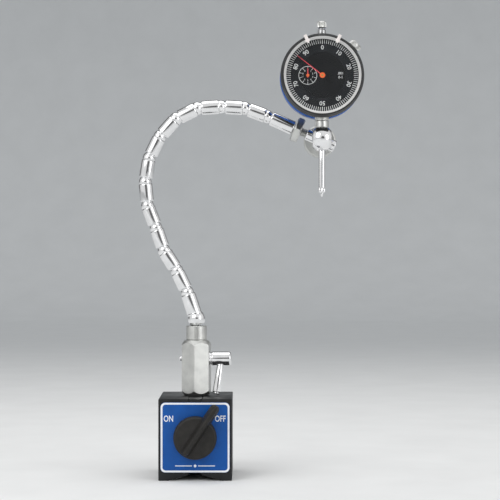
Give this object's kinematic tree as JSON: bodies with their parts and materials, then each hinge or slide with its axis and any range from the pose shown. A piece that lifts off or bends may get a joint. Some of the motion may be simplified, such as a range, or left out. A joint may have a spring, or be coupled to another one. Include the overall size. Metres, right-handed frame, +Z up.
{
  "type": "dial indicator on magnetic base",
  "caption": "Black-faced dial indicator held by its stem in the clamp of a ball-jointed flexible arm that stands on a switchable magnetic base.",
  "frame": {"origin": "on the surface that the base stands on, under the middle of the whole box", "axes": "+Z up; the dial and the switch knob face -Y; +X to the right as seen from the dial side"},
  "size_m": [0.1554, 0.0746, 0.3133],
  "materials": {
    "black_paint": "satin",
    "black_anodised": "satin",
    "black_plastic": "matte",
    "printed_plate": "satin",
    "satin_nickel": "satin",
    "chrome": "polished",
    "tool_steel": "satin",
    "aluminium": "satin",
    "brass": "satin",
    "magnet_alloy": "matte",
    "ferrite": "matte",
    "blue_enamel": "gloss",
    "dial_black": "matte",
    "pointer_red": "satin",
    "clear_acrylic": "clear"
  },
  "bodies": {
    "base": {"pole_left": "black_paint", "pole_right": "black_paint", "spacer_top": "black_paint", "spacer_bottom": "black_paint", "front_bush": "aluminium", "rear_cover": "black_paint", "label_plate": "printed_plate", "base_stud": "tool_steel"},
    "switch": {"switch_knob": "black_plastic", "rotor_shaft": "tool_steel", "rotor_magnet": "magnet_alloy"},
    "column": {"hex_column": "satin_nickel"},
    "cam": {"cam_shaft": "chrome", "lever_handle": "chrome"},
    "tension": {"tension_rod": "tool_steel", "tension_cable": "tool_steel"},
    "arm_01": {"link_01": "chrome"},
    "arm_02": {"link_02": "chrome"},
    "arm_03": {"link_03": "chrome"},
    "arm_04": {"link_04": "chrome"},
    "arm_05": {"link_05": "chrome"},
    "arm_06": {"link_06": "chrome"},
    "arm_07": {"link_07": "chrome"},
    "arm_08": {"link_08": "chrome"},
    "arm_09": {"link_09": "chrome"},
    "arm_10": {"link_10": "chrome"},
    "arm_11": {"link_11": "chrome"},
    "arm_12": {"link_12": "chrome"},
    "arm_13": {"link_13": "chrome"},
    "arm_14": {"end_link": "chrome", "cable_ferrule": "brass"},
    "jam_nut": {"jam_nut": "satin_nickel"},
    "end_fitting": {"clamp_shank": "chrome"},
    "clamp": {"clamp_yoke": "chrome", "eye_bolt": "chrome"},
    "clamp_nut": {"clamp_nut": "satin_nickel"},
    "indicator": {"indicator_case": "black_anodised", "stem": "chrome", "upper_bush": "chrome", "dial_centre": "dial_black", "movement_plate": "brass", "return_spring": "tool_steel", "back_shell": "blue_enamel", "back_magnet": "ferrite", "back_pole": "tool_steel"},
    "bezel": {"bezel": "black_anodised", "crystal": "clear_acrylic", "dial_ring": "dial_black"},
    "clip_left": {"tolerance_clip_left": "chrome"},
    "clip_right": {"tolerance_clip_right": "chrome"},
    "lock_screw": {"bezel_lock_screw": "chrome"},
    "plunger": {"spindle": "chrome", "contact_point": "tool_steel", "lifting_cap": "chrome"},
    "pointer": {"main_pointer": "pointer_red", "centre_arbor": "brass"},
    "counter": {"counter_pointer": "pointer_red", "counter_gear": "brass"},
    "rack_wheel": {"rack_gear": "brass"}
  },
  "joints": [
    {"name": "base_switch", "type": "hinge", "parent": "base", "child": "switch", "pos_m": [-0.03723, 0.00725, 0.0295], "axis": [0, -1, 0], "range_deg": [0, 90]},
    {"name": "column_swivel", "type": "hinge", "parent": "base", "child": "column", "pos_m": [-0.03723, 0.00725, 0.0555], "axis": [0, 0, 1], "range_deg": [-180, 180]},
    {"name": "cam_lever", "type": "hinge", "parent": "column", "child": "cam", "pos_m": [-0.03723, 0.00725, 0.0811], "axis": [-1, 0, 0], "range_deg": [0, 110]},
    {"name": "rod_lift", "type": "slide", "parent": "column", "child": "tension", "axis": [0, 0, 1], "range_m": [0, 0.000671]},
    {"name": "link_01_bend", "type": "hinge", "parent": "column", "child": "arm_01", "pos_m": [-0.03723, 0.00725, 0.1089], "axis": [0, -1, 0], "range_deg": [-47, 9], "deforming": ["tension_cable"]},
    {"name": "link_02_bend", "type": "hinge", "parent": "arm_01", "child": "arm_02", "pos_m": [-0.04355, 0.00725, 0.12724], "axis": [0.8988, 0, 0.4384], "range_deg": [-28, 28]},
    {"name": "link_03_bend", "type": "hinge", "parent": "arm_02", "child": "arm_03", "pos_m": [-0.05084, 0.00725, 0.14221], "axis": [0, 1, 0], "range_deg": [-21.5, 34.5]},
    {"name": "link_04_bend", "type": "hinge", "parent": "arm_03", "child": "arm_04", "pos_m": [-0.05979, 0.00725, 0.15625], "axis": [-0.9426, 0, -0.3338], "range_deg": [-28, 28]},
    {"name": "link_05_bend", "type": "hinge", "parent": "arm_04", "child": "arm_05", "pos_m": [-0.06535, 0.00725, 0.17194], "axis": [0, -1, 0], "range_deg": [-29.5, 26.5]},
    {"name": "link_06_bend", "type": "hinge", "parent": "arm_05", "child": "arm_06", "pos_m": [-0.07132, 0.00725, 0.18749], "axis": [0.9954, 0, 0.0958], "range_deg": [-28, 28]},
    {"name": "link_07_bend", "type": "hinge", "parent": "arm_06", "child": "arm_07", "pos_m": [-0.07291, 0.00725, 0.20406], "axis": [0, 1, 0], "range_deg": [-42.5, 13.5]},
    {"name": "link_08_bend", "type": "hinge", "parent": "arm_07", "child": "arm_08", "pos_m": [-0.07031, 0.00725, 0.22051], "axis": [-0.8949, 0, 0.4462], "range_deg": [-28, 28]},
    {"name": "link_09_bend", "type": "hinge", "parent": "arm_08", "child": "arm_09", "pos_m": [-0.06288, 0.00725, 0.23541], "axis": [0, -1, 0], "range_deg": [-12.5, 43.5]},
    {"name": "link_10_bend", "type": "hinge", "parent": "arm_09", "child": "arm_10", "pos_m": [-0.05174, 0.00725, 0.24778], "axis": [0.4462, 0, -0.8949], "range_deg": [-28, 28]},
    {"name": "link_11_bend", "type": "hinge", "parent": "arm_10", "child": "arm_11", "pos_m": [-0.03683, 0.00725, 0.25521], "axis": [0, 1, 0], "range_deg": [-50.5, 5.5]},
    {"name": "link_12_bend", "type": "hinge", "parent": "arm_11", "child": "arm_12", "pos_m": [-0.02023, 0.00725, 0.25637], "axis": [0.061, 0, 0.9981], "range_deg": [-28, 28]},
    {"name": "link_13_bend", "type": "hinge", "parent": "arm_12", "child": "arm_13", "pos_m": [-0.00361, 0.00725, 0.25536], "axis": [0, -1, 0], "range_deg": [-11, 45]},
    {"name": "link_14_bend", "type": "hinge", "parent": "arm_13", "child": "arm_14", "pos_m": [0.01199, 0.00725, 0.24952], "axis": [-0.4067, 0, -0.9135], "range_deg": [-28, 28]},
    {"name": "jam_nut_turn", "type": "hinge", "parent": "arm_14", "child": "jam_nut", "pos_m": [0.01199, 0.00725, 0.24952], "axis": [0.9135, 0, -0.4067], "continuous": true},
    {"name": "clamp_swivel", "type": "hinge", "parent": "arm_14", "child": "end_fitting", "pos_m": [0.01199, 0.00725, 0.24952], "axis": [0.9135, 0, -0.4067], "range_deg": [-170, 170]},
    {"name": "claw_turn", "type": "hinge", "parent": "end_fitting", "child": "clamp", "pos_m": [0.04922, 0.00725, 0.23295], "axis": [0, 1, 0], "range_deg": [0, 175]},
    {"name": "knurled_nut_turn", "type": "hinge", "parent": "clamp", "child": "clamp_nut", "pos_m": [0.04922, 0.00725, 0.23295], "axis": [0, 1, 0], "continuous": true},
    {"name": "indicator_turn", "type": "hinge", "parent": "clamp", "child": "indicator", "pos_m": [0.04922, -0.01145, 0.27545], "axis": [0, 0, 1], "range_deg": [-170, 170]},
    {"name": "bezel_turn", "type": "hinge", "parent": "indicator", "child": "bezel", "pos_m": [0.04922, -0.01145, 0.27545], "axis": [0, 1, 0], "continuous": true},
    {"name": "tolerance_left_set", "type": "hinge", "parent": "bezel", "child": "clip_left", "pos_m": [0.04922, -0.01145, 0.27545], "axis": [0, 1, 0], "range_deg": [-60, 18]},
    {"name": "tolerance_right_set", "type": "hinge", "parent": "bezel", "child": "clip_right", "pos_m": [0.04922, -0.01145, 0.27545], "axis": [0, 1, 0], "range_deg": [-18, 60]},
    {"name": "lock_screw_turn", "type": "hinge", "parent": "indicator", "child": "lock_screw", "pos_m": [0.04922, -0.01025, 0.27545], "axis": [0.7314, 0, 0.682], "range_deg": [-180, 180]},
    {"name": "contact_plunge", "type": "slide", "parent": "indicator", "child": "plunger", "axis": [0, 0, 1], "range_m": [0, 0.0254], "stiffness_N_per_m": 20, "springref_m": -0.03},
    {"name": "pointer_spin", "type": "hinge", "parent": "indicator", "child": "pointer", "pos_m": [0.04922, -0.01145, 0.27545], "axis": [0, 1, 0], "continuous": true},
    {"name": "counter_spin", "type": "hinge", "parent": "indicator", "child": "counter", "pos_m": [0.03932, -0.01145, 0.27545], "axis": [0, 1, 0], "continuous": true},
    {"name": "rack_gear_spin", "type": "hinge", "parent": "indicator", "child": "rack_wheel", "pos_m": [0.04512, -0.01145, 0.26695], "axis": [0, 1, 0], "continuous": true}
  ],
  "couplings": [
    {"joint": "cam_lever", "follows": "rod_lift", "rad_per_m": 2861.2},
    {"joint": "pointer_spin", "follows": "contact_plunge", "rad_per_m": 2473.7},
    {"joint": "counter_spin", "follows": "contact_plunge", "rad_per_m": -247.37},
    {"joint": "rack_gear_spin", "follows": "contact_plunge", "rad_per_m": -618.42}
  ]
}
